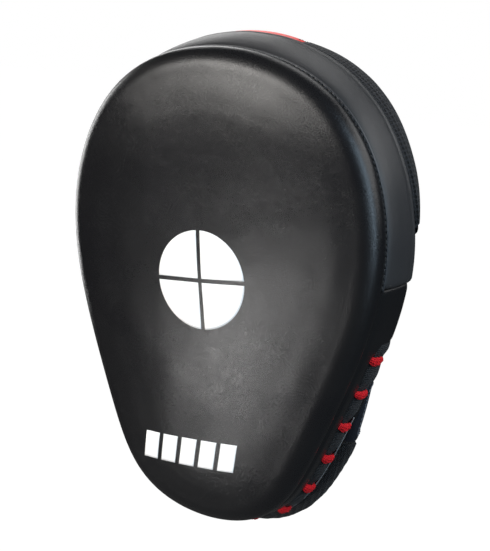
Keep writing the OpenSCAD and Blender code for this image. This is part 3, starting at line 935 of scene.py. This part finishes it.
MOUTH_SECTION = [(0.6, 2.6), (-0.5, 1.4), (-0.7, -0.6), (0.0, -2.6), (2.2, -3.6), (4.2, -2.6), (4.9, -0.6),
                 (4.8, 1.4), (4.4, 2.4)]


def mouth_binding():
    """A folded band over the mouth's raw edge; its section holds skin depth and height."""
    turns = np.linspace(-HOOD_TURN, HOOD_TURN, 160)
    skin, rise = spline(MOUTH_SECTION, 28).T
    base = hood_point(turns[:, None], 0.0, skin[None])
    base[..., 2] = MOUTH_Z + rise[None]
    ob = sheet("hood_mouth_band", base, RIBBED, "pad", 0.4)
    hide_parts("hood_mouth_binding")
    outer = hood_point(turns, 0.0, -0.75)
    outer[:, 2] = MOUTH_Z + 1.5
    up = np.stack([outer[:, 0] / HOOD_HALF ** 2, outer[:, 1] / HOOD_HEIGHT ** 2, 0 * turns], -1)
    up /= np.linalg.norm(up, axis=1)[:, None]
    stitches("hood_band_stitches", [(outer, up)], GREY_THREAD, "pad", 3.2, 2.2, 0.3, 0.05)


def hood_seams():
    """Twin rows of stitches beside each seam of the red panel."""
    lines = []
    lifts = np.linspace(86, 2, 120)
    up = np.stack([0 * lifts, np.cos(np.radians(lifts)), np.sin(np.radians(lifts))], -1)
    for side in (-1, 1):
        for offset in (-1.1, 1.1):
            turn = side * CENTRE_TURN + offset
            lines.append((hood_point(np.full(120, turn), lifts, 0.25), up))
    stitches("hood_seam_stitches", lines, BLACK_THREAD, "pad", 3.2, 2.2, 0.32, 0.0)


hood_panel("hood_left_mesh", -HOOD_TURN, -CENTRE_TURN, 70, AIR_MESH, "hood_mesh_left",
           False, True, 1.0)
hood_panel("hood_right_mesh", CENTRE_TURN, HOOD_TURN, 70, AIR_MESH, "hood_mesh_right",
           True, False, 1.0)
hood_panel("hood_centre_red", -CENTRE_TURN, CENTRE_TURN, 60, RED_PANEL, "hood_centre_panel",
           True, True, 0.9)
hood_lining()
mouth_binding()
hood_seams()

# ---- wrist cushion -----------------------------------------------------------------------
CUSHION_TOP = -70.5
CUSHION_PROFILE = [(2.0, 0.0), (-2.6, 1.2), (-5.2, 5.2), (-4.6, 10.0), (-0.5, 13.6), (7, 15.2), (16, 15.6)]


def apply_modifiers(ob):
    deps = bpy.context.evaluated_depsgraph_get()
    me = bpy.data.meshes.new_from_object(ob.evaluated_get(deps), preserve_all_data_layers=True,
                                         depsgraph=deps)
    ob.modifiers.clear()
    ob.data = me


def inflate(ob, pressure, cap):
    """Cloth pressure with gravity off; no point moves further than cap millimetres."""
    scene = bpy.context.scene
    rest = np.array([v.co[:] for v in ob.data.vertices])
    cloth = ob.modifiers.new("cloth", "CLOTH")
    cloth.settings.use_pressure = True
    cloth.settings.uniform_pressure_force = pressure
    cloth.settings.effector_weights.gravity = 0
    cloth.settings.quality = 5
    for f in range(1, 21):
        scene.frame_set(f)
    apply_modifiers(ob)
    scene.frame_set(1)
    now = np.array([v.co[:] for v in ob.data.vertices])
    move = now - rest
    size = np.linalg.norm(move, axis=1)
    limit = cap * MM
    scale = np.where(size > 1e-9, limit * np.tanh(size / limit) / np.maximum(size, 1e-9), 0)
    ob.data.vertices.foreach_set("co", (rest + move * scale[:, None]).ravel())


def soften(ob, times):
    bm = bmesh.new()
    bm.from_mesh(ob.data)
    for _ in range(times):
        bmesh.ops.smooth_vert(bm, verts=bm.verts, factor=0.5,
                              use_axis_x=True, use_axis_y=True, use_axis_z=True)
    bm.to_mesh(ob.data)
    bm.free()


def wrist_cushion():
    """Woven cushion, blown up by cloth pressure from a slightly smaller closed form."""
    rows = spline(CUSHION_PROFILE, 16)
    loops = []
    for inset, y in rows:
        start = rear_turn_at(CUSHION_TOP - max(0.0, inset))
        t = np.linspace(start, 360 - start, 60)
        arc = rim(t, inset, y)
        bridge = np.linspace(arc[-1], arc[0], 26)[1:-1]
        loops.append(np.vstack([arc, bridge]))
    p = np.stack(loops, 1)
    rows_n, cols = p.shape[:2]
    faces = grid_faces(rows_n, cols, wrap_rows=True)
    faces.append([i * cols for i in range(rows_n)])
    faces.append([i * cols + cols - 1 for i in range(rows_n)][::-1])
    ob = make("wrist_cushion", p, faces, HERRINGBONE, "pad")
    outward_faces(ob)
    mod = ob.modifiers.new("remesh", "REMESH")
    mod.mode = "VOXEL"
    mod.voxel_size = 2.6 * MM
    apply_modifiers(ob)
    inflate(ob, pressure=4.0, cap=3.0)
    soften(ob, 2)
    mod = ob.modifiers.new("round", "SUBSURF")
    mod.levels = mod.render_levels = 1
    apply_modifiers(ob)
    ob.data.polygons.foreach_set("use_smooth", [True] * len(ob.data.polygons))
    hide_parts("wrist_cushion_cover")


wrist_cushion()

# ---- wrist closure -----------------------------------------------------------------------
STRAP_TOP, STRAP_BOTTOM, STRAP_HEIGHT = -35.0, -70.0, 42.0
OUTSET_TOP, OUTSET_BOTTOM, LIFT, HALF_STRAP = -3.5, 3.5, 5.8, 1.5
HALF_ARCH = 75.0               # about half the arch's width
STRAP_END = 160.0              # degrees round the arch from the strap's root
ROOT_ANGLES = np.array([-3.2, -2.6, -1.6, -0.4, 0.8])      # the sewn root turns in behind the pad's edge
ROOT_LIFT = np.array([-9.0, -6.0, -3.2, -1.3, -0.3])


def closure_point(z, along, lift):
    """A point on the arch over the wrist; along is an angle from the strap's root."""
    z, along, lift = np.broadcast_arrays(*(np.asarray(v, float) for v in (z, along, lift)))
    down = (STRAP_TOP - z) / (STRAP_TOP - STRAP_BOTTOM)
    half = half_width_at(z) + OUTSET_TOP + (OUTSET_BOTTOM - OUTSET_TOP) * down + lift
    a = np.radians(along)
    return np.stack([half * np.cos(a), (STRAP_HEIGHT + lift) * np.sin(a), z], -1)


def strap_lift(along):
    """How far the strap's middle is raised, so that it passes over the flap."""
    return LIFT * smooth01((np.asarray(along) - 55) / 55)


def band(name, angles, lift, material, thick=3.0, margin=0.0, round_start=0.0, round_end=0.0,
         body="pad"):
    """A strap of closed section round the wrist arch; its ends can be rounded, in millimetres."""
    angles = np.asarray(angles, float)
    lift = np.broadcast_to(lift, angles.shape)
    mid_z, half_z = (STRAP_TOP + STRAP_BOTTOM) / 2, (STRAP_TOP - STRAP_BOTTOM) / 2 - margin
    path = closure_point(mid_z, angles, lift)
    run = run_along(path)
    squeeze = np.zeros_like(run)
    for radius, dist in ((round_start, run), (round_end, run[-1] - run)):
        if radius:
            short = np.clip(radius - dist, 0, radius)
            squeeze = np.maximum(squeeze, radius - np.sqrt(np.maximum(radius ** 2 - short ** 2, 0)))
    t = thick / 2
    edge = [(1.0, 0.0), (0.995, 0.55), (0.965, 0.95), (0.9, 1.0), (0.7, 0.93), (0.35, 1.03), (0.0, 1.06)]
    upper = edge + [(-a, b) for a, b in edge[-2::-1]]
    loop = np.array(upper + [(a, -b) for a, b in upper[-2:0:-1]])
    z = mid_z + loop[None, :, 0] * (half_z - squeeze)[:, None]
    taper = np.where(squeeze > 0.8 * max(round_end, round_start, 1), 0.5, 1.0)
    off = lift[:, None] + loop[None, :, 1] * t * taper[:, None]
    p = closure_point(z, angles[:, None], off)
    rows, cols = p.shape[:2]
    faces = grid_faces(rows, cols, wrap_cols=True)
    faces.append(list(range(cols)))
    faces.append([(rows - 1) * cols + j for j in range(cols)][::-1])
    ob = make(name, p, faces, material, body, grid_flow(p))
    outward_faces(ob)
    return ob


def band_line(angles, z, lift, face=1.0):
    """A stitch line on the strap's outer (face 1) or inner (face -1) side."""
    off = lift + face * (HALF_STRAP * 1.02)
    path = closure_point(z, angles, off)
    a = np.radians(angles)
    up = np.stack([np.cos(a) / HALF_ARCH, np.sin(a) / STRAP_HEIGHT, 0 * a], -1) * face
    return path, up / np.linalg.norm(up, axis=1)[:, None]


def blend_at_root(ob):
    """Bakes the object's placement into its points; it is attached to no body."""
    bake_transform(ob)


def wrist_strap():
    """The strap from its sewn root to its free end, with its edge and cross stitching."""
    angles = np.concatenate([ROOT_ANGLES, np.linspace(1.8, 24, 26), np.linspace(26, STRAP_END, 90)])
    rise = np.concatenate([ROOT_LIFT, strap_lift(angles[len(ROOT_ANGLES):])])
    strap = band("wrist_strap_leather", angles, rise, STRAP_LEATHER, round_end=9, body=None)
    blend_at_root(strap)
    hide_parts("wrist_strap", "strap_anchor")

    along = np.linspace(4, STRAP_END - 5, 160)
    lines = [band_line(along, z, strap_lift(along)) for z in (STRAP_TOP - 3, STRAP_BOTTOM + 3)]
    across = np.linspace(STRAP_TOP - 3.5, STRAP_BOTTOM + 3.5, 24)
    for at in (119, 152):
        lines.append(band_line(np.full(24, at), across, strap_lift(np.full(24, at))))
    blend_at_root(stitches("strap_stitches", lines, GREY_THREAD, None, 3.0, 2.1, 0.3, 0.0))

    lines = [band_line(np.full(24, at), across, 0.0) for at in (4.5, 2.5)]
    stitches("strap_root_stitches", lines, GREY_THREAD, "pad", 2.8, 2.0, 0.32, 0.0)


def closure_flap():
    """The short flap on the other side, which the strap closes over."""
    angles = np.concatenate([180 - ROOT_ANGLES, np.linspace(178.2, 115, 60)])
    rise = np.concatenate([ROOT_LIFT, np.zeros(60)])
    flap = band("closure_flap_leather", angles, rise, STRAP_LEATHER, round_end=7)
    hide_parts("closure_flap")


def fastenings():
    """The pull tab at the strap's end, and the tape patches that face each other."""
    tab = band("strap_pull_tab_leather", np.linspace(157.5, 168, 24), LIFT, TAB_LEATHER,
               thick=2.2, margin=7.0, round_end=5, body="strap")
    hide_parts("strap_pull_tab")
    patch = {"thick": 1.0, "margin": 3.6, "round_start": 2, "round_end": 2}
    hooks = band("hook_patch", np.linspace(122, 156, 40), LIFT - HALF_STRAP - 0.55, HOOK,
                 body="strap", **patch)
    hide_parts("strap_hook_patch")
    loops = band("loop_patch", np.linspace(158, 118, 44), HALF_STRAP + 0.5, HOOK, **patch)
    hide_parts("closure_loop_patch")


wrist_strap()
closure_flap()
fastenings()

# ---- camera, light, floor ----------------------------------------------------------------
AZIMUTH, ELEVATION, ROLL = math.radians(30), math.radians(16.5), math.radians(3.3)
DISTANCE = 620.0
VIEW_HEIGHT = 297.68           # height of the view at the origin's distance
ORIGIN_LEFT, ORIGIN_BELOW = 0.243, 8.082   # the origin's place from the view's middle
AMBIENT = 0.025


def camera():
    """A slightly rolled camera, shifted so that the mitt sits where it does in the photograph."""
    sa, ca, se, ce = math.sin(AZIMUTH), math.cos(AZIMUTH), math.sin(ELEVATION), math.cos(ELEVATION)
    back = Vector((sa * ce, -ca * ce, se))
    right = Vector((ca, sa, 0))
    up = Vector((-sa * se, ca * se, ce))
    rolled_right = right * math.cos(ROLL) + up * math.sin(ROLL)
    rolled_up = up * math.cos(ROLL) - right * math.sin(ROLL)
    cam = bpy.data.cameras.new("camera")
    cam.sensor_fit = "VERTICAL"
    cam.sensor_height = 36
    cam.lens = DISTANCE / VIEW_HEIGHT * cam.sensor_height
    cam.shift_x = ORIGIN_LEFT / VIEW_HEIGHT
    cam.shift_y = ORIGIN_BELOW / VIEW_HEIGHT
    ob = bpy.data.objects.new("camera", cam)
    m = Matrix((rolled_right, rolled_up, back)).transposed().to_4x4()
    m.translation = back * DISTANCE * MM
    ob.matrix_world = m
    bpy.context.scene.collection.objects.link(ob)
    bpy.context.scene.camera = ob


def only_for_camera(tree, seen, otherwise):
    """A strength that is one value where the camera looks straight at it and another as light."""
    path = tree.nodes.new("ShaderNodeLightPath")
    mix = tree.nodes.new("ShaderNodeMix")
    mix.inputs["A"].default_value = otherwise
    mix.inputs["B"].default_value = seen
    tree.links.new(path.outputs["Is Camera Ray"], mix.inputs["Factor"])
    return mix.outputs["Result"]


def world():
    w = bpy.data.worlds.new("studio")
    w.use_nodes = True
    sky = w.node_tree.nodes["Background"]
    sky.inputs["Color"].default_value = (1, 1, 1, 1)
    w.node_tree.links.new(only_for_camera(w.node_tree, 1.0, AMBIENT), sky.inputs["Strength"])
    bpy.context.scene.world = w


def floor():
    """Paper under the mitt; the camera sees it as plain white, like the world behind it."""
    s = Shader("floor_paper", (0.1, 0.1, 0.1), 0.9)
    s.bsdf.inputs["Emission Color"].default_value = (1, 1, 1, 1)
    s.link(only_for_camera(s.tree, 1.0, 0.0), s.bsdf.inputs["Emission Strength"])
    s.roughness(s.noise(s.coords(), 6), 0.85, 0.95)
    me = bpy.data.meshes.new("floor")
    size, z = 6.0, -0.75
    corners = [(-size, -size, z), (size, -size, z), (size, size, z), (-size, size, z)]
    me.from_pydata(corners, [], [[0, 1, 2, 3]])
    ob = bpy.data.objects.new("floor", me)
    ob.data.materials.append(s.mat)
    bpy.context.scene.collection.objects.link(ob)


def softbox(name, azimuth, elevation, size, power, color=(1.0, 1.0, 1.0)):
    """A soft light 1 m from the palm; azimuth 0 faces the strike face, elevation is above the palm."""
    a, e = math.radians(azimuth), math.radians(elevation)
    d = Vector((math.sin(a) * math.cos(e), -math.cos(a) * math.cos(e), math.sin(e)))
    light = bpy.data.lights.new(name, "AREA")
    light.shape = "RECTANGLE"
    light.size, light.size_y = size
    light.energy = power
    light.color = color
    ob = bpy.data.objects.new(name, light)
    ob.location = d
    ob.rotation_euler = d.to_track_quat("Z", "Y").to_euler()
    bpy.context.scene.collection.objects.link(ob)


bpy.context.scene.view_settings.view_transform = "Standard"
camera()
world()
floor()
softbox("upper_key", -27, 28, (0.6, 0.36), 10.5, (1.0, 0.97, 0.93))
softbox("low_front", -22, -21.5, (0.2, 0.15), 4.2, (1.0, 0.985, 0.97))
softbox("cool_side", 64, 18, (0.26, 0.9), 6.5, (0.62, 0.82, 1.0))
softbox("right_side", 93, 28, (0.4, 0.6), 3.0)
softbox("right_rear", 125, 36, (0.5, 0.5), 2.5)
softbox("top_rear", 180, 60, (0.6, 0.5), 2.2)
softbox("left_rim", -106, 0, (0.3, 0.7), 3.5)
softbox("left_rear", -140, 25, (0.4, 0.6), 2.2)
